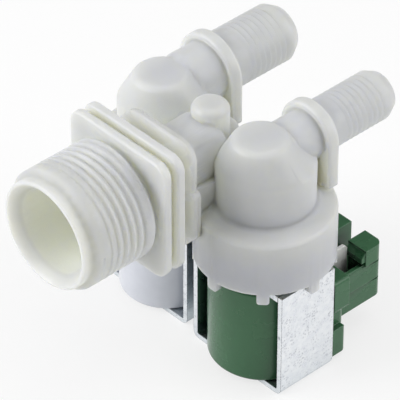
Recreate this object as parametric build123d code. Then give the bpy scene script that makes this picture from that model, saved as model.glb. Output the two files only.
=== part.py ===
from build123d import *
import os

# Water inlet solenoid valve with one threaded inlet and two hose tails.
# Frame: the origin is the centre of the inlet mouth, +Y runs into the valve and +Z is up.
# Pieces are drawn on a base whose origin lies midway between the two solenoid axes, on the plane
# that the yokes stand on, and are moved into the frame when they are written. Sizes are in mm.

os.makedirs("parts", exist_ok=True)

# Layout of the whole valve
yoke_half = 13.2
yoke_gap = 3.1
inlet_reach = 46.4
outlet_reach = 32.3

# Heights of the stack, each on top of the one before, from the base plane up
yoke_thickness = 1.2
coil_height = 23.2
flux_plate_thickness = 1.5
guide_flange = 2.5
guide_cup_depth = 2.6
bead_height = 2.0
seat_rise = 0.4

# Heights of the white moulding, from the top of the yokes up
collar_gap = 1.2
collar_height = 12.3
dome_height = 10.2
dome_cap_height = 7.3
outlet_rise = 1.5
inlet_rise = 20.2

# Running and assembly clearances
slip = 0.1
seal_gap = 0.05
plunger_clearance = 0.08
skirt_clearance = 0.1

# Cutters run past the faces they cut, and joined pieces reach into each other
overcut = 1.0
overlap = 0.1
plane_tolerance = 0.001

# Threaded inlet, G 3/4
thread_diameter = 26.44
lip_radius = 12.0
lip_length = 2.4
lip_round = 0.6
thread_lead = 0.7
thread_end = 17.7
thread_runout = 0.8
neck_radius = 11.9
inlet_bore_radius = 9.3
inlet_bore_flare = 1.9
inlet_flare_length = 2.6
strainer_seat = 18.0
regulator_radius = 8.3
regulator_depth = 3.2
regulator_lip = 1.6
feed_bore_radius = 4.6

# Square mounting plates behind the thread
plate_half = 14.2
plate_corner = 3.2
plate_thickness = 2.0
plate_front = 19.4
panel_groove = 1.6
groove_root_half = 12.4
groove_root_corner = 3.0
plate_edge_round = 0.5

# Third plate and the duct to the central tower
rear_slot = 4.7
rear_plate_half = 10.15
rear_plate_rise = 11.5
rear_plate_drop = 6.3
rear_plate_corner = 4.0
rear_plate_thickness = 2.0
rear_foot_half = 11.4
rear_foot_rise = 0.5
rear_foot_drop = 11.3
rear_foot_corner = 1.2
duct_radius = 7.7
duct_round = 2.5
tower_offset = -1.6
tower_base_radius = 5.9
tower_base_rise = 3.2
boss_radius = 4.05
boss_rise = 10.2
boss_round = 1.9
tower_bore_radius = 3.9
cross_bore_radius = 3.1
cross_bore_lift = 4.5
saddle_half = 9.0
saddle_lift = 6.9
saddle_drop = 1.3
saddle_rear = 6.0

# Valve chambers: collar, dome and seat
collar_wall = 1.46
collar_round = 1.0
shoulder_rise = 1.6
skirt_margin = 0.2
dome_radius = 10.4
dome_top_radius = 5.7
dome_top_shift = -1.6
dome_round = 2.0
ledge_width = 2.4
chamber_height = 3.5
gallery_radius = 8.4
gallery_height = 7.5
seat_outer_radius = 5.5
riser_radius = 2.9

# Tabs that hang from the lower edge of each collar
tab_count = 8
tab_width = 2.6
tab_drop = 2.5
tab_corner = 0.6

# Hose tails; the left one is the larger
left_tail_radius = 6.6
right_tail_radius = 5.55
left_tail_bore = 4.3
right_tail_bore = 3.6
tail_root_taper = 1.7
tail_root_length = 5.0
tail_ridge_start = 17.6
tail_ridge_count = 8
tail_ridge_pitch = 1.45
tail_ridge_depth = 0.3
tail_ridge_step = 0.1
tail_ridge_rise = 0.75
tail_nose_length = 2.2
tail_nose_ratio = 0.8
arch_start = 10.8
arch_thickness = 3.0
arch_margin = 1.7
arch_sink = 0.8
arch_round = 0.7
arch_foot_half = 5.0

# Yokes and coils; the left coil is the thinner and sits a little further back
yoke_bend = 1.6
yoke_corner = 2.2
yoke_depth = 14.9
right_yoke_shift = -0.25
left_yoke_shift = 0.75
yoke_hole_radius = 2.8
coil_side_gap = 0.2
left_coil_radius = 10.55
coil_round = 0.7
jacket_wall = 1.2
jacket_end = 0.6
bobbin_bore_radius = 6.1
bobbin_wall = 0.9
bobbin_flange = 1.0
winding_inset = 0.5
sleeve_bore_radius = 5.0
sleeve_radius = 6.0
lower_sleeve_length = 8.6
upper_sleeve_length = 10.0

# Guide tube, plunger and return spring
guide_radius = 4.9
guide_bore_radius = 4.1
guide_rim_wall = 2.1
guide_end_lift = 2.0
guide_end_wall = 1.0
guide_peg_radius = 2.6
guide_peg_end = 0.3
plunger_gap = 2.8
plunger_chamfer = 0.4
plunger_neck_radius = 2.7
plunger_neck_length = 0.9
tip_radius = 1.8
tip_depth = 1.8
tip_stand = 0.8
spring_pocket_radius = 2.7
spring_pocket_depth = 7.0
spring_radius = 2.1
spring_wire = 0.55
spring_turns = 6.5

# Diaphragm and its pilot disc
diaphragm_bead_width = 2.5
diaphragm_web = 0.8
diaphragm_web_grip = 0.5
diaphragm_core_radius = 6.5
diaphragm_core = 1.2
diaphragm_hole_radius = 2.1
pilot_disc_radius = 6.3
pilot_disc_thickness = 1.7
pilot_cap_radius = 2.5
pilot_cap_thickness = 0.9
pilot_nozzle_radius = 1.5
pilot_nozzle_length = 0.7
pilot_hole_radius = 0.5

# Strainer
strainer_thickness = 1.4
strainer_rim = 1.6
strainer_rim_length = 3.4
strainer_margin = 0.4
strainer_slot_rows = 7
strainer_slot_width = 0.9
strainer_bar = 1.1
strainer_hub_radius = 1.6
strainer_grip_length = 4.0

# Plug socket on the back of each coil, measured from the yoke's back edge and the base plane
socket_shift = 1.7
socket_gap = 0.3
ear_length = 4.2
ear_low = 13.2
ear_top = 21.2
ear_round = 0.8
waist_inset = 2.0
waist_low = 7.0
waist_length = 5.0
waist_round = 1.6
heel_inset = 0.6
heel_top = 8.0
heel_length = 4.2
heel_round = 1.2
socket_half = 7.3
socket_wall = 1.7
socket_low = 6.6
socket_floor = 8.5
socket_side_top = 16.0
socket_tower_top = 20.1
socket_round = 1.8
tower_depth = 4.9
slot_half = 2.0
slot_low = 12.0
hook_length = 1.0
hook_inset = 0.25
hook_low = 17.2
hook_high = 19.6
rib_tops = (15.6, 11.0)
rib_groove = 0.45
rib_groove_depth = 0.8
ramp_drop = 3.4
ramp_inset = 2.2
ramp_tip = 0.3
ramp_margin = 0.5
blade_pitch = 5.0
blade_thickness = 0.8
blade_width = 6.3
blade_top = 20.2
blade_root = 7.5
blade_corner = 0.7
blade_start_gap = 0.6
blade_end_gap = 1.2

# Places that follow from the sizes above
half_spacing = yoke_half + yoke_gap / 2
right_coil_radius = yoke_half - yoke_thickness - coil_side_gap
skirt_bore_radius = yoke_half + skirt_margin
collar_radius = skirt_bore_radius + collar_wall
chamber_radius = skirt_bore_radius - ledge_width
waist_half = yoke_half - waist_inset
heel_half = yoke_half - heel_inset
thread_radius = thread_diameter / 2
mouth = -inlet_reach
plate_1 = mouth + plate_front
plate_2 = plate_1 + plate_thickness + panel_groove
plate_2_back = plate_2 + plate_thickness
rear_plate = plate_2_back + rear_slot
rear_plate_back = rear_plate + rear_plate_thickness
coil_low = yoke_thickness
coil_top = coil_low + coil_height
yoke_top = coil_top + flux_plate_thickness
guide_end = coil_low + guide_end_lift
guide_floor = yoke_top + guide_flange
guide_rim_top = guide_floor + guide_cup_depth
ledge_height = guide_rim_top + bead_height
seat_height = ledge_height + seat_rise
chamber_top = ledge_height + chamber_height
gallery_top = chamber_top + gallery_height
cross_bore_height = chamber_top + cross_bore_lift
collar_low = yoke_top + collar_gap
collar_top = collar_low + collar_height
dome_shoulder = collar_top + dome_height
dome_top = dome_shoulder + dome_cap_height
outlet_height = dome_shoulder + outlet_rise
inlet_height = collar_low + inlet_rise
diaphragm_top = seat_height - seal_gap
core_low = diaphragm_top - diaphragm_core
disc_low = core_low - pilot_disc_thickness
nozzle_low = disc_low - pilot_nozzle_length
tip_top = nozzle_low - seal_gap
plunger_top = tip_top - tip_stand - plunger_neck_length
plunger_low = guide_end + plunger_gap
well_start = waist_length
blade_start = well_start + blade_start_gap
well_end = blade_start + blade_width + blade_end_gap
socket_end = well_end + tower_depth
tail_radii = {"left": left_tail_radius, "right": right_tail_radius}
tail_bores = {"left": left_tail_bore, "right": right_tail_bore}
yoke_shifts = {"left": left_yoke_shift, "right": right_yoke_shift}
coil_radii = {"left": left_coil_radius, "right": right_coil_radius}
side_x = {"left": -half_spacing, "right": half_spacing}


def upright(radius, low, high, x=0.0, y=0.0):
    """Round bar along Z between two heights."""
    return Pos(x, y, (low + high) / 2) * Cylinder(radius, high - low)


def upright_ring(outer, inner, low, high):
    """Round ring along Z between two heights."""
    return upright(outer, low, high) - upright(inner, low, high)


def flowwise(radius, start, end, x=0.0, z=inlet_height):
    """Round bar along Y between two stations."""
    return Pos(x, (start + end) / 2, z) * Rot(90, 0, 0) * Cylinder(radius, end - start)


def crosswise(radius, start, end, y, z):
    """Round bar along X between two stations."""
    return Pos((start + end) / 2, y, z) * Rot(0, 90, 0) * Cylinder(radius, end - start)


def block(x_low, x_high, y_low, y_high, z_low, z_high):
    """Box between two corners."""
    middle = Pos((x_low + x_high) / 2, (y_low + y_high) / 2, (z_low + z_high) / 2)
    return middle * Box(x_high - x_low, y_high - y_low, z_high - z_low)


def upright_plate(outline, start, thickness):
    """Plate that stands across the flow, from an outline drawn in X and Z."""
    return Pos(0, start, 0) * Rot(90, 0, 0) * extrude(outline, -thickness)


def rim_edges(solid, axis, place):
    """Edges that lie in one plane across an axis."""
    return solid.edges().filter_by_position(axis, place - plane_tolerance, place + plane_tolerance)


def turned(points, x=0.0, z=inlet_height):
    """Body turned about a line along Y, from radius and station pairs."""
    profile = make_face(Polyline(*points, close=True))
    return Pos(x, 0, z) * revolve(profile, Axis.Y)


def inlet_spigot():
    """Lip, threaded barrel at its crest size and neck."""
    lip_end = mouth + lip_length
    barrel_end = mouth + thread_end
    spigot = turned([
        (0, mouth),
        (lip_radius, mouth),
        (lip_radius, lip_end),
        (thread_radius, lip_end + thread_lead),
        (thread_radius, barrel_end),
        (neck_radius, barrel_end + thread_runout),
        (neck_radius, plate_1 + plate_thickness / 2),
        (0, plate_1 + plate_thickness / 2),
    ])
    return fillet(rim_edges(spigot, Axis.Y, mouth), lip_round)


def mounting_plates():
    """Two square plates with the panel groove between them."""
    outline = Pos(0, inlet_height) * RectangleRounded(2 * plate_half, 2 * plate_half, plate_corner)
    root = Pos(0, inlet_height) * RectangleRounded(
        2 * groove_root_half, 2 * groove_root_half, groove_root_corner)
    plates = upright_plate(root, plate_1 + plate_thickness / 2, plate_thickness + panel_groove)
    for start in (plate_1, plate_2):
        plate = upright_plate(outline, start, plate_thickness)
        edges = rim_edges(plate, Axis.Y, start) + rim_edges(plate, Axis.Y, start + plate_thickness)
        plates += fillet(edges, plate_edge_round)
    return plates


def rear_plate_and_duct():
    """Third plate, the duct along the flow, the tower and the saddle between the domes."""
    upper = Pos(0, inlet_height + (rear_plate_rise - rear_plate_drop) / 2) * RectangleRounded(
        2 * rear_plate_half, rear_plate_rise + rear_plate_drop, rear_plate_corner)
    foot = Pos(0, inlet_height + (rear_foot_rise - rear_foot_drop) / 2) * RectangleRounded(
        2 * rear_foot_half, rear_foot_rise + rear_foot_drop, rear_foot_corner)
    plate = upright_plate(upper + foot, rear_plate, rear_plate_thickness)
    duct = flowwise(duct_radius, plate_2, tower_offset)
    duct = fillet(rim_edges(duct, Axis.Y, tower_offset), duct_round)
    saddle_low = collar_low + saddle_lift
    saddle = block(-saddle_half, saddle_half, rear_plate, saddle_rear, saddle_low, inlet_height - saddle_drop)
    base = upright(tower_base_radius, saddle_low, inlet_height + tower_base_rise, 0, tower_offset)
    boss_top = inlet_height + boss_rise
    boss = upright(boss_radius, saddle_low, boss_top, 0, tower_offset)
    boss = fillet(rim_edges(boss, Axis.Z, boss_top), boss_round)
    return plate + duct + saddle + base + boss


def stood(points):
    """Body turned about the Z axis, from radius and height pairs."""
    profile = make_face(Polyline(*points, close=True))
    return Rot(90, 0, 0) * revolve(profile, Axis.Y)


def chamber_shell(side):
    """Collar, dome, arch plate and tail of one valve, before it is hollowed."""
    x = side_x[side]
    radius = tail_radii[side]
    blank_low = collar_low - tab_drop - overcut
    collar = stood([
        (0, blank_low),
        (collar_radius, blank_low),
        (collar_radius, collar_top),
        (dome_radius, collar_top + shoulder_rise),
        (dome_radius, dome_shoulder),
        (0, dome_shoulder),
    ])
    collar = fillet(rim_edges(collar, Axis.Z, collar_top), collar_round)
    cone = loft([
        Pos(0, 0, dome_shoulder) * Circle(dome_radius),
        Pos(0, dome_top_shift, dome_top) * Circle(dome_top_radius),
    ])
    cone = fillet(rim_edges(cone, Axis.Z, dome_top), dome_round)
    shell = Pos(x, 0, 0) * (collar - between_tabs() + cone)
    arch_half = radius + arch_margin
    arch_foot = collar_top + shoulder_rise
    arch_low = collar_top - arch_sink
    arch_outline = Pos(x, outlet_height) * Circle(arch_half)
    arch_rise = outlet_height - arch_foot
    arch_outline += Pos(x, outlet_height - arch_rise / 2) * Rectangle(2 * arch_half, arch_rise)
    arch = upright_plate(arch_outline, arch_start, arch_thickness)
    arch_end = arch_start + arch_thickness
    arch = fillet(rim_edges(arch, Axis.Y, arch_start) + rim_edges(arch, Axis.Y, arch_end), arch_round)
    shell += arch
    shell += block(x - arch_foot_half, x + arch_foot_half, arch_start, arch_end, arch_low, outlet_height)
    return shell + hose_tail(x, radius)


def between_tabs():
    """Space below the collar's edge, apart from the tabs that hang there."""
    outline = RectangleRounded(tab_width, 2 * tab_drop, tab_corner)
    bar = extrude(outline, collar_radius + 2 * overcut)
    bar = Pos(0, 0, collar_low) * Rot(0, 90, 0) * Rot(0, 0, 90) * bar
    space = upright(collar_radius + overcut, collar_low - tab_drop - 2 * overcut, collar_low)
    for number in range(tab_count):
        space -= Rot(0, 0, 360 / tab_count * number) * bar
    return space


def hose_tail(x, radius):
    """Hose tail with saw-tooth ridges and a tapered nose."""
    points = [(0, 0), (radius - tail_root_taper, 0), (radius, tail_root_length)]
    for number in range(tail_ridge_count):
        station = tail_ridge_start + number * tail_ridge_pitch
        points.append((radius, station))
        points.append((radius - tail_ridge_depth, station + tail_ridge_step))
        points.append((radius, station + tail_ridge_pitch * tail_ridge_rise))
    points.append((radius, outlet_reach - tail_nose_length))
    points.append((radius * tail_nose_ratio, outlet_reach))
    points.append((0, outlet_reach))
    return turned(points, x, outlet_height)


def chamber_hollow(side):
    """Space inside one valve: skirt, chamber, gallery, seat and outlet passage."""
    skirt = upright(skirt_bore_radius, collar_low - 2 * tab_drop, ledge_height)
    chamber = upright_ring(chamber_radius, seat_outer_radius, ledge_height - overlap, chamber_top)
    gallery = upright_ring(gallery_radius, seat_outer_radius, chamber_top - overlap, gallery_top)
    seat_face = upright(seat_outer_radius + overlap, ledge_height - overlap, seat_height)
    riser = upright(riser_radius, ledge_height, outlet_height)
    hollow = Pos(side_x[side], 0, 0) * (skirt + chamber + gallery + seat_face + riser)
    start = -riser_radius - overcut
    end = outlet_reach + overcut
    return hollow + flowwise(tail_bores[side], start, end, side_x[side], outlet_height)


def inlet_hollow():
    """Bores for the strainer, regulator and feed, and the passages to both chambers."""
    seat = mouth + strainer_seat
    bore = turned([
        (0, mouth - overcut),
        (inlet_bore_radius + inlet_bore_flare, mouth - overcut),
        (inlet_bore_radius + inlet_bore_flare, mouth),
        (inlet_bore_radius, mouth + inlet_flare_length),
        (inlet_bore_radius, seat),
        (regulator_radius + slip, seat),
        (regulator_radius + slip, seat + regulator_depth),
        (feed_bore_radius, seat + regulator_depth),
        (feed_bore_radius, tower_offset),
        (0, tower_offset),
    ])
    drop = upright(tower_bore_radius, cross_bore_height, inlet_height, 0, tower_offset)
    reach = half_spacing - (gallery_radius + seat_outer_radius) / 2
    across = crosswise(cross_bore_radius, -reach, reach, tower_offset, cross_bore_height)
    return bore + drop + across


def valve_body():
    """The whole white moulding."""
    body = inlet_spigot() + mounting_plates() + rear_plate_and_duct()
    for side in side_x:
        body += chamber_shell(side)
    for side in side_x:
        body -= chamber_hollow(side)
    return body - inlet_hollow()


def inlet_strainer():
    """Round strainer with slots, a rim that stands in the bore and a grip for pulling it out."""
    radius = inlet_bore_radius - slip
    seat = mouth + strainer_seat
    disc = flowwise(radius, seat - strainer_thickness, seat)
    rim = flowwise(radius, seat - strainer_rim_length, seat)
    rim -= flowwise(radius - strainer_rim, seat - strainer_rim_length - overcut, seat + overcut)
    hub = flowwise(strainer_hub_radius, seat - strainer_grip_length, seat)
    pitch = strainer_slot_width + strainer_bar
    opening = radius - strainer_rim - strainer_margin
    for number in range(strainer_slot_rows):
        height = (number - (strainer_slot_rows - 1) / 2) * pitch
        reach = (opening ** 2 - (abs(height) + strainer_slot_width / 2) ** 2) ** 0.5
        low = inlet_height + height - strainer_slot_width / 2
        high = inlet_height + height + strainer_slot_width / 2
        disc -= block(-reach, reach, seat - strainer_thickness - overcut, seat + overcut, low, high)
    return disc + rim + hub


def flow_regulator():
    """Rubber washer that steadies the flow behind the strainer."""
    start = mouth + strainer_seat
    washer = flowwise(regulator_radius, start, start + regulator_depth - slip)
    hole = flowwise(feed_bore_radius - regulator_lip, start - overcut, start + regulator_depth + overcut)
    return washer - hole


def diaphragm():
    """Rubber diaphragm: clamped bead, thin web and thicker core."""
    bead_radius = skirt_bore_radius - skirt_clearance
    bead = upright_ring(bead_radius, bead_radius - diaphragm_bead_width, guide_rim_top, ledge_height)
    web_top = ledge_height - (ledge_height - guide_rim_top - diaphragm_web) / 2
    web_low = web_top - diaphragm_web
    web = upright_ring(bead_radius - diaphragm_web_grip, diaphragm_core_radius - slip, web_low, web_top)
    core = upright(diaphragm_core_radius, core_low, diaphragm_top)
    return bead + web + core - upright(diaphragm_hole_radius, core_low - overcut, diaphragm_top + overcut)


def pilot_disc():
    """Stiff disc under the diaphragm with its stem, cap and pilot nozzle."""
    disc = upright(pilot_disc_radius, disc_low, core_low)
    stem = upright(diaphragm_hole_radius - slip, core_low - overlap, diaphragm_top)
    cap = upright(pilot_cap_radius, diaphragm_top, diaphragm_top + pilot_cap_thickness)
    nozzle = upright(pilot_nozzle_radius, nozzle_low, disc_low + overlap)
    cap_top = diaphragm_top + pilot_cap_thickness
    return disc + stem + cap + nozzle - upright(pilot_hole_radius, nozzle_low - overcut, cap_top + overcut)


def guide_tube():
    """Flanged guide: cup under the diaphragm and a closed tube for the plunger."""
    flange_radius = skirt_bore_radius - skirt_clearance
    cup = upright(flange_radius, yoke_top, guide_rim_top)
    cup -= upright(flange_radius - guide_rim_wall, guide_floor, guide_rim_top + overcut)
    tube = upright(guide_radius, guide_end - guide_end_wall, yoke_top + overlap)
    peg = upright(guide_peg_radius, guide_peg_end, guide_end)
    return cup + tube + peg - upright(guide_bore_radius, guide_end, guide_floor + overcut)


def plunger():
    """Steel plunger with a spring pocket below and a holder for the rubber tip above."""
    radius = guide_bore_radius - plunger_clearance
    rod = upright(radius, plunger_low, plunger_top)
    rod = chamfer(rim_edges(rod, Axis.Z, plunger_top) + rim_edges(rod, Axis.Z, plunger_low), plunger_chamfer)
    neck_top = plunger_top + plunger_neck_length
    rod += upright(plunger_neck_radius, plunger_top - overlap, neck_top)
    rod -= upright(tip_radius, neck_top - tip_depth, neck_top + overcut)
    return rod - upright(spring_pocket_radius, plunger_low - overcut, plunger_low + spring_pocket_depth)


def plunger_tip():
    """Rubber tip that closes the pilot nozzle."""
    return upright(tip_radius - seal_gap, plunger_top + plunger_neck_length - tip_depth, tip_top)


def return_spring():
    """Coil spring between the closed end of the guide and the plunger's pocket."""
    start = guide_end + spring_wire / 2 + seal_gap
    height = plunger_low + spring_pocket_depth - spring_wire / 2 - seal_gap - start
    coil = Helix(height / spring_turns, height, spring_radius)
    wire = Plane(coil @ 0, z_dir=coil % 0) * Circle(spring_wire / 2)
    return Pos(0, 0, start) * sweep(wire, path=coil)


def coil_jacket(side):
    """Overmould of one coil with its plug socket."""
    radius = coil_radii[side]
    can = upright(radius, coil_low, coil_top)
    can = fillet(rim_edges(can, Axis.Z, coil_low) + rim_edges(can, Axis.Z, coil_top), coil_round)
    jacket = can + plug_socket(side)
    flange_radius = radius - jacket_wall
    jacket -= upright(flange_radius, coil_low + jacket_end, coil_top - jacket_end)
    return jacket - upright(bobbin_bore_radius, coil_low - overcut, coil_top + overcut)


def socket_start(side):
    """Station where the overmould begins behind one yoke."""
    return yoke_shifts[side] + yoke_depth / 2 + socket_gap


def plug_socket(side):
    """Ears, waist and heel behind the yoke, open-topped well, ribbed sides and hooked latch towers."""
    middle = socket_shift
    ears = block(-yoke_half, yoke_half, 0, ear_length, ear_low, ear_top)
    ears = fillet(ears.edges().filter_by(Axis.Y), ear_round)
    waist = block(-waist_half, waist_half, 0, waist_length, waist_low, socket_side_top)
    waist = fillet(rim_edges(waist, Axis.Y, waist_length), waist_round)
    heel = block(-heel_half, heel_half, 0, heel_length, coil_low, heel_top)
    heel = fillet(rim_edges(heel, Axis.Y, heel_length), heel_round)
    shroud = block(middle - socket_half, middle + socket_half, well_start - waist_round, socket_end,
                   socket_low, socket_tower_top)
    shroud = fillet(rim_edges(shroud, Axis.Y, socket_end).filter_by(Axis.Z), socket_round)
    inner_half = socket_half - socket_wall
    above = socket_tower_top + overcut
    beyond = socket_end + overcut
    wide = socket_half + overcut
    shroud -= block(middle - wide, middle + wide, 0, well_end, socket_side_top, above)
    shroud -= block(middle - slot_half, middle + slot_half, well_start, beyond, slot_low, above)
    for hand in (-1, 1):
        face = middle + hand * socket_half
        for top in rib_tops:
            deep = rib_groove_depth
            shroud -= block(face - deep, face + deep, 0, beyond, top, top + rib_groove)
            shroud -= side_ramp(face, hand, top)
    well = block(middle - inner_half, middle + inner_half, well_start, well_end, socket_floor, above)
    socket = ears + waist + heel + shroud - well
    hook_start = slot_half + hook_inset
    hook_end = socket_half - hook_inset
    for hand in (-1, 1):
        socket += latch_hook(middle + hand * hook_start, middle + hand * hook_end)
    socket = Pos(0, socket_start(side), 0) * socket
    for place in (-1, 1):
        socket -= terminal_blade(side, place)
    return socket


def side_ramp(face, hand, top):
    """Tapering wedge taken from the upper outer edge of one side rib."""
    outside = face + hand * ramp_margin
    sections = []
    for station, inner, drop in ((well_start, -ramp_inset, ramp_drop), (socket_end, ramp_tip, ramp_tip)):
        corner = Polyline((outside, top), (face + hand * inner, top), (outside, top - drop), close=True)
        sections.append(Pos(0, station, 0) * Rot(90, 0, 0) * make_face(corner))
    return loft(sections)


def latch_hook(near, far):
    """Nose on the inner face of one latch tower, sloped above and flat below."""
    nose = make_face(Polyline(
        (well_end + hook_length, hook_low),
        (well_end - hook_length, hook_low),
        (well_end - hook_length, (hook_low + hook_high) / 2),
        (well_end, hook_high),
        (well_end + hook_length, hook_high),
        close=True))
    return Pos(min(near, far), 0, 0) * Rot(90, 0, 0) * Rot(0, 90, 0) * extrude(nose, abs(far - near))


def terminal_blade(side, place):
    """Flat contact blade that stands in the socket's well; place is -1 or 1."""
    x = socket_shift + place * blade_pitch / 2
    start = socket_start(side) + blade_start
    half = blade_thickness / 2
    blade = block(x - half, x + half, start, start + blade_width, blade_root, blade_top)
    return chamfer(blade.edges().filter_by(Axis.X).group_by(Axis.Z)[-1], blade_corner)


def bobbin(side):
    """Spool that carries the winding."""
    low = coil_low + jacket_end
    high = coil_top - jacket_end
    flange_radius = coil_radii[side] - jacket_wall
    spool = upright(bobbin_bore_radius + bobbin_wall, low, high)
    spool += upright(flange_radius, low, low + bobbin_flange)
    spool += upright(flange_radius, high - bobbin_flange, high)
    return spool - upright(bobbin_bore_radius, low - overcut, high + overcut)


def winding(side):
    """Copper winding on the spool."""
    low = coil_low + jacket_end + bobbin_flange
    high = coil_top - jacket_end - bobbin_flange
    outer = coil_radii[side] - jacket_wall - winding_inset
    return upright_ring(outer, bobbin_bore_radius + bobbin_wall, low, high)


def yoke(side):
    """Steel strap bent round the coil into a U."""
    shift = yoke_shifts[side]
    outer = Pos(0, yoke_top / 2) * Rectangle(2 * yoke_half, yoke_top)
    outer = fillet(outer.vertices().group_by(Axis.Y)[0], yoke_bend)
    inner_half = yoke_half - yoke_thickness
    inner = Pos(0, yoke_thickness + yoke_top / 2) * Rectangle(2 * inner_half, yoke_top)
    inner = fillet(inner.vertices().group_by(Axis.Y)[0], yoke_bend - yoke_thickness)
    strap = upright_plate(outer - inner, shift - yoke_depth / 2, yoke_depth)
    blank = Pos(shift, yoke_top / 2) * Rectangle(yoke_depth, yoke_top)
    blank = fillet(blank.vertices().group_by(Axis.Y)[0].sort_by(Axis.X)[-1], yoke_corner)
    side_view = Rot(90, 0, 0) * Rot(0, 90, 0) * extrude(blank, 2 * yoke_half, both=True)
    strap = strap & side_view
    return strap - upright(yoke_hole_radius, -overcut, yoke_thickness + overcut)


def flux_plate(side):
    """Steel plate that closes the yoke above the coil."""
    shift = yoke_shifts[side]
    half = yoke_half - yoke_thickness - slip
    plate = block(-half, half, shift - yoke_depth / 2, shift + yoke_depth / 2, coil_top, yoke_top)
    return plate - upright(sleeve_bore_radius, coil_top - overcut, yoke_top + overcut)


def lower_sleeve():
    """Steel sleeve that leads the field from the yoke into the guide."""
    return upright_ring(sleeve_radius, sleeve_bore_radius, coil_low, coil_low + lower_sleeve_length)


def upper_sleeve():
    """Steel sleeve under the flux plate."""
    return upright_ring(sleeve_radius, sleeve_bore_radius, coil_top - upper_sleeve_length, coil_top)


def write(solid, name, x=0.0):
    """Move one piece into the frame and write its file."""
    placed = Pos(x, inlet_reach, -inlet_height) * solid
    placed.label = name
    export_step(placed, f"parts/{name}.step")


write(valve_body(), "valve_body")
write(inlet_strainer(), "inlet_strainer")
write(flow_regulator(), "flow_regulator")
for side, x in side_x.items():
    write(diaphragm(), f"{side}_diaphragm", x)
    write(pilot_disc(), f"{side}_pilot_disc", x)
    write(guide_tube(), f"{side}_guide_tube", x)
    write(plunger(), f"{side}_plunger", x)
    write(plunger_tip(), f"{side}_plunger_tip", x)
    write(return_spring(), f"{side}_return_spring", x)
    write(coil_jacket(side), f"{side}_coil_jacket", x)
    write(bobbin(side), f"{side}_bobbin", x)
    write(winding(side), f"{side}_winding", x)
    write(yoke(side), f"{side}_yoke", x)
    write(flux_plate(side), f"{side}_flux_plate", x)
    write(lower_sleeve(), f"{side}_lower_sleeve", x)
    write(upper_sleeve(), f"{side}_upper_sleeve", x)
    write(terminal_blade(side, -1), f"{side}_terminal_1", x)
    write(terminal_blade(side, 1), f"{side}_terminal_2", x)
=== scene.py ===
"""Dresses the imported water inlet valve: thread, finishes, floor, studio light and camera."""

import logging
import math
from dataclasses import dataclass, field
from enum import Enum

import bmesh
import bpy
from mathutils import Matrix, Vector


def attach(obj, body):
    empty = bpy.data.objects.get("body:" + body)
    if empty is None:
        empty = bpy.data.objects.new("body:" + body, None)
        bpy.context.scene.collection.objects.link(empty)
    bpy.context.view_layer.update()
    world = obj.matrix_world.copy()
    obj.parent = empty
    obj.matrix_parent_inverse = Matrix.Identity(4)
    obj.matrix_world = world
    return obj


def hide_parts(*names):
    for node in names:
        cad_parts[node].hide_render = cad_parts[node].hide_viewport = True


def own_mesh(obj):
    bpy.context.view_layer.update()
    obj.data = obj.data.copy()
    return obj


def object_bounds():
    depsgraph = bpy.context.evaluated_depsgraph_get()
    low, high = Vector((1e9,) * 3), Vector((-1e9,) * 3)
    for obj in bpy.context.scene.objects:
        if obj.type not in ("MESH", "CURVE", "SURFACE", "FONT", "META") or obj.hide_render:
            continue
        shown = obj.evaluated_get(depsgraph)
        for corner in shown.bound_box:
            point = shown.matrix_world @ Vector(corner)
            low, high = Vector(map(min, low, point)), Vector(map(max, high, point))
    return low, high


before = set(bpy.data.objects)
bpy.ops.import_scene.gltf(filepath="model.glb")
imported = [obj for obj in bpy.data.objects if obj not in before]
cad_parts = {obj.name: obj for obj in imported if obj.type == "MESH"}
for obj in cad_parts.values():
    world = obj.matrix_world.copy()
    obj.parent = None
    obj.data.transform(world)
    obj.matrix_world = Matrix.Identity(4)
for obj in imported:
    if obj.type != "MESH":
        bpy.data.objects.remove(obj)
cad_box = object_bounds()

LOG = logging.getLogger("valve_scene")
MM = 0.001
HOUSING = "housing"

Span = tuple[float, float]
Triple = tuple[float, float, float]
Values = dict[str | int, float | tuple[float, ...]]
Tree = bpy.types.NodeTree
Node = bpy.types.Node
Socket = bpy.types.NodeSocket
Material = bpy.types.Material
Mesh = bpy.types.Mesh
Piece = bpy.types.Object

# Sockets of the mix node when it mixes colours
MIX_FACTOR = 0
MIX_FIRST = 6
MIX_SECOND = 7
MIX_RESULT = 2

# Usual values of the finishes; patterns are in cells per metre
FINE_SCALE = 2500.0
WAVE_SCALE = 160.0
MOTTLE_SCALE = 200.0
HOLLOW_SPAN = (0.65, 0.20)
CREVICE_SPAN = (0.38, 0.05)
EDGE_RADIUS = 0.2 * MM
COAT_ROUGHNESS = 0.12


class Direction(Enum):
    """Which way a helix turns along +Y, as the sign of its angle from +X to +Z."""

    RIGHT_HAND = -1
    LEFT_HAND = 1


class Side(Enum):
    """One of the two valves, as the sign of its place along X."""

    LEFT = -1
    RIGHT = 1

    def named(self, piece: str) -> str:
        """Gives the name of this side's piece."""
        return f"{self.name.lower()}_{piece}"


class Shaping(Enum):
    """What a second solid does to the moulding."""

    CUT = "DIFFERENCE"
    JOIN = "UNION"


class Carries(Enum):
    """What a group's socket carries."""

    VALUE = "NodeSocketFloat"
    VECTOR = "NodeSocketVector"


def even(value: float) -> Triple:
    """Gives one value three times, as a grey or an even scale."""
    return value, value, value


def set_inputs(node: Node, values: Values) -> None:
    """Sets a node's constant inputs, by name or number."""
    for key, value in values.items():
        node.inputs[key].default_value = value


def add_node(tree: Tree, kind: str, values: Values | None = None, operation: str | None = None) -> Node:
    """Adds one node.

    Args:
        tree: The nodes that it joins.
        kind: The node's type.
        values: Its constant inputs.
        operation: What a math node does.

    Returns:
        The new node.
    """
    node = tree.nodes.new(kind)
    if operation is not None:
        node.operation = operation
    set_inputs(node, values or {})
    return node


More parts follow.
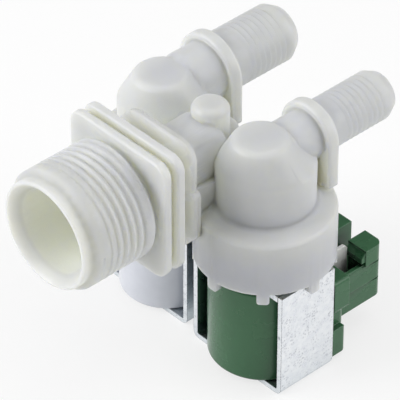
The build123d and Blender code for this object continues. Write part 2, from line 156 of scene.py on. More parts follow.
def add_effect(tree: Tree, group: Tree, values: Values) -> Node:
    """Adds one shared effect to a material.

    Args:
        tree: The material's nodes.
        group: The shared effect.
        values: Its inputs.

    Returns:
        The group's node.
    """
    node = add_node(tree, "ShaderNodeGroup")
    node.node_tree = group
    set_inputs(node, values)
    return node


def add_colour_mix(tree: Tree, first: Triple, second: Triple) -> Node:
    """Adds a colour mix node.

    Args:
        tree: The material's nodes.
        first: The colour at factor 0, until another is linked there.
        second: The colour at factor 1.

    Returns:
        The mix node.
    """
    node = add_node(tree, "ShaderNodeMix")
    node.data_type = "RGBA"
    set_inputs(node, {MIX_FIRST: (*first, 1.0), MIX_SECOND: (*second, 1.0)})
    return node


def new_group(name: str, inputs: dict[str, float | Triple],
              outputs: dict[str, Carries]) -> tuple[Tree, Node, Node]:
    """Starts a shader node group.

    Args:
        name: The group's name.
        inputs: The defaults of its inputs, by their names.
        outputs: What its outputs carry, by their names.

    Returns:
        The group, its input node and its output node.
    """
    tree = bpy.data.node_groups.new(name, "ShaderNodeTree")
    for label, value in inputs.items():
        carries = Carries.VECTOR if isinstance(value, tuple) else Carries.VALUE
        made = tree.interface.new_socket(name=label, in_out="INPUT", socket_type=carries.value)
        made.default_value = value
    for label, carries in outputs.items():
        tree.interface.new_socket(name=label, in_out="OUTPUT", socket_type=carries.value)
    return tree, add_node(tree, "NodeGroupInput"), add_node(tree, "NodeGroupOutput")


@dataclass(frozen=True)
class Grain:
    """Fine height of a moulded surface: fine noise on slow waves."""

    fine_detail: float = 3.0
    wave_detail: float = 2.0
    fine_share: float = 0.15

    def build(self) -> Tree:
        """Makes the node group.

        Returns:
            The group, which gives the height.
        """
        inputs = {"Fine Scale": FINE_SCALE, "Wave Scale": WAVE_SCALE}
        tree, entry, leave = new_group("moulded_grain", inputs, {"Height": Carries.VALUE})
        place = add_node(tree, "ShaderNodeTexCoord")
        fine = add_node(tree, "ShaderNodeTexNoise", {"Detail": self.fine_detail})
        wave = add_node(tree, "ShaderNodeTexNoise", {"Detail": self.wave_detail})
        height = add_node(tree, "ShaderNodeMath", {1: self.fine_share}, "MULTIPLY_ADD")
        link = tree.links.new
        link(place.outputs["Object"], fine.inputs["Vector"])
        link(place.outputs["Object"], wave.inputs["Vector"])
        link(entry.outputs["Fine Scale"], fine.inputs["Scale"])
        link(entry.outputs["Wave Scale"], wave.inputs["Scale"])
        link(fine.outputs["Fac"], height.inputs[0])
        link(wave.outputs["Fac"], height.inputs[2])
        link(height.outputs[0], leave.inputs["Height"])
        return tree


@dataclass(frozen=True)
class Mottle:
    """Broad uneven patches."""

    low: float = 0.35
    high: float = 0.65
    detail: float = 5.0
    roughness: float = 0.6

    def build(self) -> Tree:
        """Makes the node group.

        Returns:
            The group, which gives the patches as a mask.
        """
        inputs = {"Scale": MOTTLE_SCALE, "Low": self.low, "High": self.high}
        tree, entry, leave = new_group("mottle", inputs, {"Mask": Carries.VALUE})
        place = add_node(tree, "ShaderNodeTexCoord")
        noise = add_node(tree, "ShaderNodeTexNoise", {"Detail": self.detail, "Roughness": self.roughness})
        span = add_node(tree, "ShaderNodeMapRange")
        link = tree.links.new
        link(place.outputs["Object"], noise.inputs["Vector"])
        link(entry.outputs["Scale"], noise.inputs["Scale"])
        link(noise.outputs["Fac"], span.inputs["Value"])
        link(entry.outputs["Low"], span.inputs["From Min"])
        link(entry.outputs["High"], span.inputs["From Max"])
        link(span.outputs["Result"], leave.inputs["Mask"])
        return tree


@dataclass(frozen=True)
class RecessShading:
    """Masks of broad hollows and narrow crevices, found by how much open air they see within a reach; painted
    shade is laid there, and in some finishes painted light.
    """

    hollow_reach: float = 25.0 * MM
    crevice_reach: float = 12.0 * MM
    samples: int = 8

    def build(self) -> Tree:
        """Makes the node group.

        Returns:
            The group, which gives the masks for painted shade: one of the hollows and one of the crevices.
        """
        inputs = {
            "Hollow Reach": self.hollow_reach,
            "Hollow Open": HOLLOW_SPAN[0],
            "Hollow Closed": HOLLOW_SPAN[1],
            "Crevice Reach": self.crevice_reach,
            "Crevice Open": CREVICE_SPAN[0],
            "Crevice Closed": CREVICE_SPAN[1],
        }
        outputs = {"Hollow": Carries.VALUE, "Crevice": Carries.VALUE}
        tree, entry, leave = new_group("recess", inputs, outputs)
        link = tree.links.new
        for name in outputs:
            air = add_node(tree, "ShaderNodeAmbientOcclusion")
            air.samples = self.samples
            span = add_node(tree, "ShaderNodeMapRange")
            link(entry.outputs[f"{name} Reach"], air.inputs["Distance"])
            link(entry.outputs[f"{name} Open"], span.inputs["From Min"])
            link(entry.outputs[f"{name} Closed"], span.inputs["From Max"])
            link(air.outputs["AO"], span.inputs["Value"])
            link(span.outputs["Result"], leave.inputs[name])
        return tree


@dataclass(frozen=True)
class SpeckScatter:
    """Small uneven specks in loose clusters.

    The wobble's scale and the clusters' scale count in cells of the scaled pattern.
    """

    scale: Triple = even(400.0)
    share: float = 0.1
    size: float = 0.1
    wobble_scale: float = 1.7
    wobble_reach: float = 0.7
    cluster_scale: float = 0.15
    cluster_span: Span = (0.42, 0.58)

    def build(self) -> Tree:
        """Makes the node group.

        Returns:
            The group, which gives a mask that is 1 on a speck.
        """
        inputs = {"Scale": self.scale, "Share": self.share, "Size": self.size}
        tree, entry, leave = new_group("specks", inputs, {"Mask": Carries.VALUE})
        place = add_node(tree, "ShaderNodeTexCoord")
        scaled = add_node(tree, "ShaderNodeVectorMath", operation="MULTIPLY")
        wobble = add_node(tree, "ShaderNodeTexNoise", {"Scale": self.wobble_scale})
        shifted = add_node(tree, "ShaderNodeVectorMath", {1: even(self.wobble_reach)}, "MULTIPLY_ADD")
        cells = add_node(tree, "ShaderNodeTexVoronoi", {"Scale": 1.0})
        chance = add_node(tree, "ShaderNodeSeparateColor")
        chosen = add_node(tree, "ShaderNodeMath", operation="LESS_THAN")
        near = add_node(tree, "ShaderNodeMapRange", {"To Min": 1.0, "To Max": 0.0})
        patch = add_node(tree, "ShaderNodeTexNoise", {"Scale": self.cluster_scale})
        low, high = self.cluster_span
        clustered = add_node(tree, "ShaderNodeMapRange", {"From Min": low, "From Max": high})
        both = add_node(tree, "ShaderNodeMath", operation="MULTIPLY")
        whole = add_node(tree, "ShaderNodeMath", operation="MULTIPLY")
        link = tree.links.new
        link(place.outputs["Object"], scaled.inputs[0])
        link(entry.outputs["Scale"], scaled.inputs[1])
        link(scaled.outputs[0], wobble.inputs["Vector"])
        link(wobble.outputs["Color"], shifted.inputs[0])
        link(scaled.outputs[0], shifted.inputs[2])
        link(shifted.outputs[0], cells.inputs["Vector"])
        link(cells.outputs["Color"], chance.inputs["Color"])
        link(chance.outputs["Red"], chosen.inputs[0])
        link(entry.outputs["Share"], chosen.inputs[1])
        link(cells.outputs["Distance"], near.inputs["Value"])
        link(entry.outputs["Size"], near.inputs["From Max"])
        link(scaled.outputs[0], patch.inputs["Vector"])
        link(patch.outputs["Fac"], clustered.inputs["Value"])
        link(near.outputs["Result"], both.inputs[0])
        link(chosen.outputs[0], both.inputs[1])
        link(both.outputs[0], whole.inputs[0])
        link(clustered.outputs["Result"], whole.inputs[1])
        link(whole.outputs[0], leave.inputs["Mask"])
        return tree


@dataclass(frozen=True)
class RoundedEdge:
    """Edges rounded in the normal; a span of likeness between both normals tells where they are, and that
    mask lays the edge colour: a painted highlight on the green, a darker line on the zinc.
    """

    samples: int = 6
    likeness_span: Span = (0.99, 0.85)

    def build(self) -> Tree:
        """Makes the node group.

        Returns:
            The group, which gives the rounded normal and a mask that is 1 on an edge.
        """
        outputs = {"Normal": Carries.VECTOR, "Mask": Carries.VALUE}
        tree, entry, leave = new_group("rounded_edge", {"Radius": EDGE_RADIUS}, outputs)
        flat = add_node(tree, "ShaderNodeNewGeometry")
        bevel = add_node(tree, "ShaderNodeBevel")
        bevel.samples = self.samples
        likeness = add_node(tree, "ShaderNodeVectorMath", operation="DOT_PRODUCT")
        begin, full = self.likeness_span
        span = add_node(tree, "ShaderNodeMapRange", {"From Min": begin, "From Max": full})
        link = tree.links.new
        link(entry.outputs["Radius"], bevel.inputs["Radius"])
        link(flat.outputs["Normal"], likeness.inputs[0])
        link(bevel.outputs["Normal"], likeness.inputs[1])
        link(likeness.outputs["Value"], span.inputs["Value"])
        link(bevel.outputs["Normal"], leave.inputs["Normal"])
        link(span.outputs["Result"], leave.inputs["Mask"])
        return tree


@dataclass(frozen=True)
class Groups:
    """The shared shader effects."""

    grain: Tree
    mottle: Tree
    recess: Tree
    specks: Tree
    edge: Tree


@dataclass(frozen=True)
class Tones:
    """Colours of one finish: two tones of its open surface; the painted shade of hollows, which some finishes
    paint lighter as painted light; the painted shade of crevices; and a colour along the edges, which is a
    painted highlight on some finishes.

    A span gives the shares of open air at which the painted shade of a recess begins and at which it is full.
    """

    light: Triple
    dark: Triple
    hollow: Triple
    crevice: Triple
    hollow_share: float = 0.5
    crevice_share: float = 0.6
    hollow_span: Span = HOLLOW_SPAN
    crevice_span: Span = CREVICE_SPAN
    edge: Triple | None = None
    edge_share: float = 0.5
    mottle_scale: float = MOTTLE_SCALE


@dataclass(frozen=True)
class Relief:
    """Fine height of one finish and the rounding of its edges."""

    fine_scale: float = FINE_SCALE
    wave_scale: float = WAVE_SCALE
    strength: float = 0.1
    reach: float = 0.1 * MM
    edge: float = EDGE_RADIUS


@dataclass(frozen=True)
class Specks:
    """Small scattered marks in one finish."""

    colour: Triple
    scale: Triple
    share: float
    size: float
    strength: float


@dataclass(frozen=True)
class Depth:
    """How far light travels under a milky surface."""

    weight: float
    scale: float
    radius: Triple = (1.0, 0.96, 0.72)


@dataclass(frozen=True)
class Finish:
    """One procedural finish."""

    name: str
    tones: Tones
    roughness: Span
    relief: Relief = Relief()
    specks: tuple[Specks, ...] = ()
    depth: Depth | None = None
    metallic: float = 0.0
    specular: float = 0.5
    coat: float = 0.0

    def build(self, groups: Groups) -> Material:
        """Makes the material.

        Args:
            groups: The shared shader effects.

        Returns:
            The new material.
        """
        material = bpy.data.materials.new(self.name)
        material.use_nodes = True
        tree = material.node_tree
        shader = tree.nodes["Principled BSDF"]
        set_inputs(shader, {
            "Metallic": self.metallic,
            "Specular IOR Level": self.specular,
            "Coat Weight": self.coat,
            "Coat Roughness": COAT_ROUGHNESS,
        })
        if self.depth is not None:
            set_inputs(shader, {
                "Subsurface Weight": self.depth.weight,
                "Subsurface Radius": self.depth.radius,
                "Subsurface Scale": self.depth.scale,
            })
        mottle = add_effect(tree, groups.mottle, {"Scale": self.tones.mottle_scale})
        edge = add_effect(tree, groups.edge, {"Radius": self.relief.edge})
        smooth, dull = self.roughness
        rough = add_node(tree, "ShaderNodeMapRange", {"To Min": smooth, "To Max": dull})
        link = tree.links.new
        link(self.colour(tree, groups, mottle, edge), shader.inputs["Base Color"])
        link(mottle.outputs["Mask"], rough.inputs["Value"])
        link(rough.outputs["Result"], shader.inputs["Roughness"])
        link(self.normal(tree, groups, edge), shader.inputs["Normal"])
        return material

    def blend(self, tree: Tree, below: Socket, colour: Triple, mask: Socket, share: float) -> Socket:
        """Lays one colour over another by a mask.

        Args:
            tree: The material's nodes.
            below: The colour so far.
            colour: The colour laid over it.
            mask: Where it lies.
            share: How strongly.

        Returns:
            The blended colour.
        """
        part = add_node(tree, "ShaderNodeMath", {1: share}, "MULTIPLY")
        over = add_colour_mix(tree, self.tones.light, colour)
        link = tree.links.new
        link(mask, part.inputs[0])
        link(part.outputs[0], over.inputs[MIX_FACTOR])
        link(below, over.inputs[MIX_FIRST])
        return over.outputs[MIX_RESULT]

    def colour(self, tree: Tree, groups: Groups, mottle: Node, edge: Node) -> Socket:
        """Builds the colour from the tones, the painted shade and light of hollows and crevices, the edge
        colour and the specks.

        Args:
            tree: The material's nodes.
            groups: The shared shader effects.
            mottle: The node with the mottle mask.
            edge: The node with the edge mask.

        Returns:
            The colour.
        """
        tones = self.tones
        tone = add_colour_mix(tree, tones.dark, tones.light)
        tree.links.new(mottle.outputs["Mask"], tone.inputs[MIX_FACTOR])
        recess = add_effect(tree, groups.recess, {
            "Hollow Open": tones.hollow_span[0],
            "Hollow Closed": tones.hollow_span[1],
            "Crevice Open": tones.crevice_span[0],
            "Crevice Closed": tones.crevice_span[1],
        })
        colour = tone.outputs[MIX_RESULT]
        # painted light and shade in the hollows, painted shade in the crevices
        colour = self.blend(tree, colour, tones.hollow, recess.outputs["Hollow"], tones.hollow_share)
        colour = self.blend(tree, colour, tones.crevice, recess.outputs["Crevice"], tones.crevice_share)
        # the edge colour: a painted highlight on the green, darker on the zinc
        if tones.edge is not None:
            colour = self.blend(tree, colour, tones.edge, edge.outputs["Mask"], tones.edge_share)
        for marks in self.specks:
            values = {"Scale": marks.scale, "Share": marks.share, "Size": marks.size}
            specks = add_effect(tree, groups.specks, values)
            colour = self.blend(tree, colour, marks.colour, specks.outputs["Mask"], marks.strength)
        return colour

    def normal(self, tree: Tree, groups: Groups, edge: Node) -> Socket:
        """Builds the normal from the rounded edges and the fine grain.

        Args:
            tree: The material's nodes.
            groups: The shared shader effects.
            edge: The node with the rounded normal.

        Returns:
            The normal.
        """
        relief = self.relief
        scales = {"Fine Scale": relief.fine_scale, "Wave Scale": relief.wave_scale}
        grain = add_effect(tree, groups.grain, scales)
        bump = add_node(tree, "ShaderNodeBump", {"Strength": relief.strength, "Distance": relief.reach})
        tree.links.new(grain.outputs["Height"], bump.inputs["Height"])
        tree.links.new(edge.outputs["Normal"], bump.inputs["Normal"])
        return bump.outputs["Normal"]


# In every finish below, the hollow colour is painted shade laid where the recess mask finds little open air,
# and it is lighter in the nylon and the strainer as painted light; the crevice colour is painted shade in the
# creases.
NYLON = Finish(
    "nylon_white",
    Tones(
        light=(0.63, 0.64, 0.645),
        dark=(0.59, 0.60, 0.605),
        # painted light: hollows lighter and olive, standing in for light carried through the milky nylon; the
        # crevice colour is painted shade
        hollow=(0.92, 0.94, 0.86),
        crevice=(0.18, 0.15, 0.09),
        hollow_share=0.88,
        crevice_share=0.5,
        hollow_span=(0.57, 0.18),
        mottle_scale=60.0,
    ),
    roughness=(0.34, 0.44),
    relief=Relief(strength=0.12, edge=0.25 * MM),
    specks=(Specks(colour=(0.22, 0.22, 0.21), scale=even(300.0), share=0.06, size=0.09, strength=0.7),),
    depth=Depth(weight=1.0, scale=6.5 * MM),
)
STRAINER = Finish(
    "strainer_white",
    Tones(
        light=(0.74, 0.75, 0.62),
        dark=(0.70, 0.71, 0.58),
        hollow=(0.80, 0.81, 0.64),
        crevice=(0.40, 0.39, 0.26),
    ),
    roughness=(0.45, 0.55),
)
GREEN = Finish(
    "coil_green",
    Tones(
        light=(0.041, 0.140, 0.061),
        dark=(0.036, 0.125, 0.055),
        # painted shade: darker green in hollows and crevices
        hollow=(0.009, 0.040, 0.018),
        crevice=(0.005, 0.020, 0.008),
        hollow_share=0.9,
        hollow_span=(0.55, 0.15),
        # painted highlight: lighter green along the edges
        edge=(0.18, 0.34, 0.22),
        mottle_scale=120.0,
    ),
    roughness=(0.20, 0.30),
    relief=Relief(strength=0.06, edge=0.3 * MM),
    specks=(Specks(colour=(0.22, 0.32, 0.25), scale=even(420.0), share=0.05, size=0.12, strength=0.6),),
    specular=0.35,
    coat=0.08,
)
PALE = Finish(
    "coil_pale",
    Tones(
        light=(0.68, 0.70, 0.76),
        dark=(0.62, 0.64, 0.70),
        hollow=(0.68, 0.70, 0.76),
        crevice=(0.35, 0.35, 0.40),
        mottle_scale=120.0,
    ),
    roughness=(0.18, 0.28),
    relief=Relief(strength=0.06, edge=0.3 * MM),
    specks=(Specks(colour=(0.22, 0.22, 0.27), scale=even(330.0), share=0.06, size=0.16, strength=0.7),),
    coat=0.15,
)
ZINC = Finish(
    "zinc_steel",
    Tones(
        light=(0.92, 0.94, 0.96),
        dark=(0.79, 0.82, 0.86),
        # painted shade: darker steel in hollows and crevices
        hollow=(0.50, 0.57, 0.60),
        crevice=(0.22, 0.26, 0.28),
        hollow_share=0.8,
        edge=(0.08, 0.09, 0.10),
        edge_share=1.0,
        mottle_scale=600.0,
    ),
    roughness=(0.26, 0.40),
    relief=Relief(fine_scale=3000.0, wave_scale=500.0, strength=0.2),
    specks=(
        Specks(colour=(0.34, 0.36, 0.41), scale=even(1900.0), share=0.5, size=0.6, strength=0.7),
        Specks(colour=(0.10, 0.11, 0.13), scale=(800.0, 1300.0, 700.0), share=0.16, size=0.42, strength=0.95),
        Specks(colour=(0.22, 0.24, 0.27), scale=(900.0, 200.0, 1500.0), share=0.14, size=0.25, strength=0.85),
    ),
    metallic=1.0,
)
STAINLESS = Finish(
    "stainless_steel",
    Tones(
        light=even(0.66),
        dark=(0.56, 0.56, 0.57),
        hollow=even(0.35),
        crevice=even(0.15),
        mottle_scale=500.0,
    ),
    roughness=(0.18, 0.30),
    metallic=1.0,
)
TINNED = Finish(
    "tinned_blade",
    Tones(
        light=(0.92, 0.92, 0.90),
        dark=(0.86, 0.86, 0.84),
        hollow=(0.90, 0.90, 0.88),
        crevice=(0.55, 0.55, 0.52),
        mottle_scale=300.0,
    ),
    roughness=(0.42, 0.52),
    metallic=0.5,
)
COPPER = Finish(
    "copper_winding",
    Tones(
        light=(0.60, 0.26, 0.12),
        dark=(0.46, 0.18, 0.08),
        hollow=(0.25, 0.10, 0.04),
        crevice=(0.10, 0.04, 0.02),
        mottle_scale=900.0,
    ),
    roughness=(0.30, 0.45),
    metallic=0.9,
)
RUBBER = Finish(
    "rubber_black",
    Tones(light=even(0.028), dark=even(0.018), hollow=even(0.012), crevice=even(0.008)),
    roughness=(0.60, 0.75),
)
GUIDE = Finish(
    "guide_plastic",
    Tones(
        light=(0.60, 0.60, 0.56),
        dark=(0.54, 0.54, 0.50),
        hollow=(0.42, 0.42, 0.36),
        crevice=(0.25, 0.24, 0.18),
    ),
    roughness=(0.40, 0.50),
)
BOBBIN = Finish(
    "bobbin_plastic",
    Tones(light=even(0.05), dark=even(0.035), hollow=even(0.02), crevice=even(0.01)),
    roughness=(0.40, 0.50),
)

# What both sides have in common
SIDE_FINISHES: dict[str, Finish] = {
    "diaphragm": RUBBER,
    "pilot_disc": GUIDE,
    "guide_tube": GUIDE,
    "plunger": STAINLESS,
    "plunger_tip": RUBBER,
    "return_spring": STAINLESS,
    "bobbin": BOBBIN,
    "winding": COPPER,
    "yoke": ZINC,
    "flux_plate": ZINC,
    "lower_sleeve": ZINC,
    "upper_sleeve": ZINC,
    "terminal_1": TINNED,
    "terminal_2": TINNED,
}


def put_material(piece: Piece, material: Material) -> None:
    """Gives a whole piece one material."""
    piece.data.materials.clear()
    piece.data.materials.append(material)


def node_object(name: str) -> Piece:
    """Finds a CAD node's object by the node's name."""
    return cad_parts[name]


def mesh_piece(name: str, mesh: Mesh) -> Piece:
    """Puts a mesh into the scene as a new piece.

    Args:
        name: The piece's name.
        mesh: Its mesh.

    Returns:
        The new object.
    """
    piece = bpy.data.objects.new(name, mesh)
    bpy.context.scene.collection.objects.link(piece)
    return piece


def finished_mesh(name: str, work: bmesh.types.BMesh) -> Mesh:
    """Turns worked geometry into a mesh and frees it.

    Args:
        name: The mesh's name.
        work: The geometry.

    Returns:
        The new mesh.
    """
    mesh = bpy.data.meshes.new(name)
    work.to_mesh(mesh)
    work.free()
    return mesh


@dataclass
class Palette:
    """The finishes' materials, each made once."""

    groups: Groups
    made: dict[str, Material] = field(default_factory=dict)

    def material(self, finish: Finish) -> Material:
        """Gives a finish's material.

        Args:
            finish: The finish.

        Returns:
            Its material, made when it is first asked for.
        """
        if finish.name not in self.made:
            self.made[finish.name] = finish.build(self.groups)
        return self.made[finish.name]

    def dress(self, node: str, finish: Finish) -> Piece:
        """Gives a CAD node its finish.

        Args:
            node: The node's name.
            finish: Its finish.

        Returns:
            The node's object.
        """
        piece = node_object(node)
        put_material(piece, self.material(finish))
        return piece


@dataclass(frozen=True)
class InletThread:
    """Soft moulded G 3/4 thread on the inlet barrel, cut as one helical groove."""

    crest: float = 13.22 * MM
    pitch: float = 1.814 * MM
    depth: float = 0.6 * MM
    start: float = 4.4 * MM
    end: float = 16.9 * MM
    crest_half: float = 0.62 * MM
    root_half: float = 0.2 * MM
    clear: float = 0.3 * MM
    fade_in_turns: float = 3.0
    fade_out_turns: float = 0.4
    least_share: float = 0.02
    steps_per_turn: int = 72
    hand: Direction = Direction.RIGHT_HAND

    def depth_at(self, turn: float, turns: float) -> float:
        """Gives the groove's depth at one place along the helix.

        Args:
            turn: Turns from the start.
            turns: Turns in all.

        Returns:
            The depth in metres, below the crest.
        """
        rise = min(1.0, turn / self.fade_in_turns)
        fall = min(1.0, (turns - turn) / self.fade_out_turns)
        return self.depth * max(self.least_share, min(rise, fall))

    def section(self, depth: float) -> list[tuple[float, float]]:
        """Gives the corners of the groove's section.

        Args:
            depth: The groove's depth there.

        Returns:
            Each corner's radius and its place along the inlet, from the section's middle.
        """
        slope = (self.crest_half - self.root_half) / self.depth
        outer = self.crest + self.clear
        outer_half = self.root_half + slope * (depth + self.clear)
        root = self.crest - depth
        return [(outer, -outer_half), (outer, outer_half), (root, self.root_half), (root, -self.root_half)]

    def cutter(self) -> Piece:
        """Builds the solid that is cut out of the barrel.

        Returns:
            The cutter.
        """
        turns = (self.end - self.start) / self.pitch
        count = int(turns * self.steps_per_turn)
        work = bmesh.new()
        rings = []
        for step in range(count + 1):
            turn = turns * step / count
            angle = self.hand.value * 2 * math.pi * turn
            station = self.start + self.pitch * turn
            rings.append([
                work.verts.new((radius * math.cos(angle), station + along, radius * math.sin(angle)))
                for radius, along in self.section(self.depth_at(turn, turns))
            ])
        for first, second in zip(rings, rings[1:]):
            for corner in range(len(first)):
                follow = (corner + 1) % len(first)
                work.faces.new((first[corner], first[follow], second[follow], second[corner]))
        work.faces.new(rings[0])
        work.faces.new(list(reversed(rings[-1])))
        bmesh.ops.recalc_face_normals(work, faces=work.faces)
        return mesh_piece("thread_cutter", finished_mesh("thread_cutter", work))


@dataclass(frozen=True)
class PartingLine:
    """Fine raised line that the mould leaves down the front of each collar."""

    axis_x: float = 14.75 * MM
    axis_y: float = 46.4 * MM
    radius: float = 14.86 * MM
    low: float = -20.1 * MM
    high: float = -9.0 * MM
    width: float = 0.16 * MM
    stand: float = 0.07 * MM
    root: float = 0.3 * MM

    def strip(self, side: Side) -> Piece:
        """Builds the strip that is joined to one collar.

        Args:
            side: The collar's side.

        Returns:
            The strip.
        """
        front = self.axis_y - self.radius
        size = (self.width, self.stand + self.root, self.high - self.low)
        middle = (side.value * self.axis_x, front + (self.root - self.stand) / 2, (self.high + self.low) / 2)
        work = bmesh.new()
        bmesh.ops.create_cube(work, size=1.0)
        bmesh.ops.scale(work, vec=size, verts=work.verts)
        bmesh.ops.translate(work, vec=middle, verts=work.verts)
        return mesh_piece("parting_strip", finished_mesh("parting_strip", work))


@dataclass(frozen=True)
class ValveBody:
    """The white moulding with its thread and parting lines."""

    thread: InletThread = InletThread()
    line: PartingLine = PartingLine()
    finish: Finish = NYLON
    sharp_angle: float = math.radians(38.0)
    weld: float = 0.001 * MM

    def build(self, palette: Palette) -> list[Piece]:
        """Copies the CAD moulding, shapes it and puts it in the CAD node's place.

        Args:
            palette: The finishes' materials.

        Returns:
            The finished piece.
        """
        mesh = palette.dress("valve_body", self.finish).data.copy()
        mesh.name = "threaded_body"
        self.weld_mesh(mesh)
        piece = mesh_piece("threaded_body", mesh)
        self.shape(piece, self.thread.cutter(), Shaping.CUT)
        for side in Side:
            self.shape(piece, self.line.strip(side), Shaping.JOIN)
        put_material(piece, palette.material(self.finish))
        piece.data.shade_smooth()
        piece.data.set_sharp_from_angle(angle=self.sharp_angle)
        normals = piece.modifiers.new("even_normals", "WEIGHTED_NORMAL")
        normals.keep_sharp = True
        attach(piece, HOUSING)
        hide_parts("valve_body")
        return [piece]

    def weld_mesh(self, mesh: Mesh) -> None:
        """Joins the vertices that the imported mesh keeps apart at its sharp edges.

        Args:
            mesh: The mesh to weld.
        """
        work = bmesh.new()
        work.from_mesh(mesh)
        bmesh.ops.remove_doubles(work, verts=work.verts, dist=self.weld)
        work.to_mesh(mesh)
        work.free()

    def shape(self, piece: Piece, tool: Piece, shaping: Shaping) -> None:
        """Cuts a tool out of the moulding or joins it on, and removes the tool.

        Args:
            piece: The moulding.
            tool: The other solid.
            shaping: Whether it is cut out or joined on.
        """
        step = piece.modifiers.new("shape", "BOOLEAN")
        step.operation = shaping.value
        step.solver = "EXACT"
        step.object = tool
        view = bpy.context.evaluated_depsgraph_get()
        result = bpy.data.meshes.new_from_object(piece.evaluated_get(view))
        piece.modifiers.remove(step)
        piece.data = result
        bpy.data.objects.remove(tool)


@dataclass(frozen=True)
class InletFittings:
    """The strainer and the flow regulator in the inlet."""

    strainer: Finish = STRAINER
    regulator: Finish = RUBBER

    def build(self, palette: Palette) -> list[Piece]:
        """Dresses both pieces from the palette and gives them."""
        finishes = {"inlet_strainer": self.strainer, "flow_regulator": self.regulator}
        return [palette.dress(node, finish) for node, finish in finishes.items()]


@dataclass(frozen=True)
class SolenoidSide:
    """The coil, yoke and inner pieces of one valve, and how far its plunger travels."""

    side: Side
    jacket: Finish
    spring_finish: Finish = STAINLESS
    travel: float = 2.5 * MM

    def build(self, palette: Palette) -> list[Piece]:
        """Dresses this side's CAD nodes and makes its spring.

        Args:
            palette: The finishes' materials.

        Returns:
            The pieces.
        """
        finishes = SIDE_FINISHES | {"coil_jacket": self.jacket}
        dressed = [palette.dress(self.side.named(piece), finish) for piece, finish in finishes.items()]
        return [*dressed, self.spring(palette)]

    def spring(self, palette: Palette) -> Piece:
        """Copies the CAD spring into a piece of its own and hides the CAD node.

        Args:
            palette: The finishes' materials.

        Returns:
            The finished piece.
        """
        node = self.side.named("return_spring")
        slide = self.side.named("plunger_slide")
        piece = mesh_piece(self.side.named("spring_coil"), node_object(node).data.copy())
        put_material(piece, palette.material(self.spring_finish))
        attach(piece, HOUSING)
        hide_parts(node)
        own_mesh(piece)
        return piece


@dataclass(frozen=True)
class SoftBox:
    """One square soft light that looks at the valve.

    Its level is the share of the light at which a surface that faces it renders as its colour is written.
    """

    name: str
    place: Triple
    size: float
    level: float

    def build(self, aim: Vector) -> None:
        """Adds the light.

        Args:
            aim: The point that it looks at.
        """
        arm = Vector(self.place)
        data = bpy.data.lights.new(self.name, "AREA")
        data.energy = self.level * (math.pi * arm.length) ** 2
        data.size = self.size
        lamp = bpy.data.objects.new(self.name, data)
        lamp.location = aim + arm
        lamp.rotation_euler = arm.to_track_quat("Z", "Y").to_euler()
        bpy.context.scene.collection.objects.link(lamp)


SOFT_BOXES = (
    SoftBox("top", place=(0.05, 0.22, 0.80), size=0.7, level=0.26),
    SoftBox("left", place=(-0.46, -0.68, 0.50), size=0.7, level=0.82),
    SoftBox("right", place=(0.62, 0.48, 0.44), size=0.6, level=0.42),
)


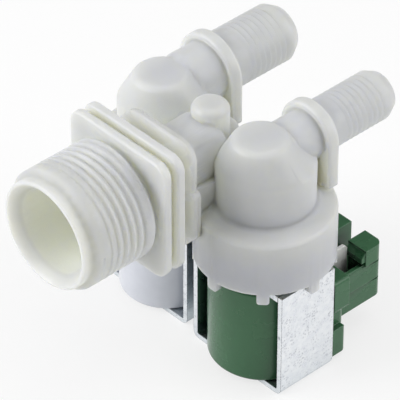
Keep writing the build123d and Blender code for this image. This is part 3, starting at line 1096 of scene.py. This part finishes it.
@dataclass(frozen=True)
class Studio:
    """Floor, soft lights and the camera at the photograph's angle."""

    aim: Vector
    back: Vector
    distance: float
    lens: float
    sensor: float = 36.0
    far_clip: float = 20.0
    floor_half: float = 3.0
    floor_tone: float = 0.92
    floor_roughness: float = 0.9
    floor_glow: float = 0.72
    sky_level: float = 0.29
    lights: tuple[SoftBox, ...] = SOFT_BOXES

    def build(self) -> None:
        """Makes the floor, the lights and the camera."""
        self.floor()
        self.world()
        for light in self.lights:
            light.build(self.aim)
        self.camera()
        bpy.context.scene.view_settings.view_transform = "Standard"

    def floor(self) -> None:
        """Lays the pale floor under the yokes; the camera sees it as near white with a soft shadow."""
        height = cad_box[0][2]
        corners = [(-1, -1), (1, -1), (1, 1), (-1, 1)]
        work = bmesh.new()
        work.faces.new([
            work.verts.new((self.aim.x + self.floor_half * x, self.aim.y + self.floor_half * y, height))
            for x, y in corners
        ])
        piece = mesh_piece("floor", finished_mesh("floor", work))
        put_material(piece, self.floor_material())

    def floor_material(self) -> Material:
        """Makes the floor's matt white, with a share of plain white for the camera and for reflections.

        Returns:
            The material.
        """
        material = bpy.data.materials.new("floor_white")
        material.use_nodes = True
        tree = material.node_tree
        shader = tree.nodes["Principled BSDF"]
        set_inputs(shader, {
            "Base Color": (*even(self.floor_tone), 1.0),
            "Roughness": self.floor_roughness,
            "Specular IOR Level": 0.0,
        })
        glow = add_node(tree, "ShaderNodeEmission", {"Strength": 1.0})
        path = add_node(tree, "ShaderNodeLightPath")
        seen = add_node(tree, "ShaderNodeMath", operation="MAXIMUM")
        share = add_node(tree, "ShaderNodeMath", {1: self.floor_glow}, "MULTIPLY")
        mix = add_node(tree, "ShaderNodeMixShader")
        link = tree.links.new
        link(path.outputs["Is Camera Ray"], seen.inputs[0])
        link(path.outputs["Is Glossy Ray"], seen.inputs[1])
        link(seen.outputs[0], share.inputs[0])
        link(share.outputs[0], mix.inputs[0])
        link(shader.outputs[0], mix.inputs[1])
        link(glow.outputs[0], mix.inputs[2])
        link(mix.outputs[0], tree.nodes["Material Output"].inputs["Surface"])
        return material

    def world(self) -> None:
        """Sets even white light all round."""
        world = bpy.data.worlds.new("studio")
        world.use_nodes = True
        sky = world.node_tree.nodes["Background"]
        set_inputs(sky, {"Color": (1.0, 1.0, 1.0, 1.0), "Strength": self.sky_level})
        bpy.context.scene.world = world

    def camera(self) -> None:
        """Sets the camera at the photograph's angle."""
        data = bpy.data.cameras.new("photo_camera")
        data.lens = self.lens
        data.sensor_width = self.sensor
        data.clip_end = self.far_clip
        camera = bpy.data.objects.new("photo_camera", data)
        camera.location = self.aim + self.back * self.distance
        camera.rotation_euler = self.back.to_track_quat("Z", "Y").to_euler()
        bpy.context.scene.collection.objects.link(camera)
        bpy.context.scene.camera = camera


def main() -> None:
    """Builds the sub-assemblies and the studio."""
    logging.basicConfig(level=logging.INFO)
    groups = Groups(
        grain=Grain().build(),
        mottle=Mottle().build(),
        recess=RecessShading().build(),
        specks=SpeckScatter().build(),
        edge=RoundedEdge().build(),
    )
    palette = Palette(groups)
    sub_assemblies = (
        ValveBody(),
        InletFittings(),
        SolenoidSide(Side.LEFT, PALE),
        SolenoidSide(Side.RIGHT, GREEN),
    )
    for sub_assembly in sub_assemblies:
        for piece in sub_assembly.build(palette):
            LOG.info("built %s with %d faces", piece.name, len(piece.data.polygons))
    studio = Studio(
        aim=Vector((-0.859, 42.75, -14.6)) * MM,
        back=Vector((0.57193, -0.52928, 0.62671)),
        distance=794.535 * MM,
        lens=347.46,
    )
    studio.build()


if __name__ == "__main__":
    main()
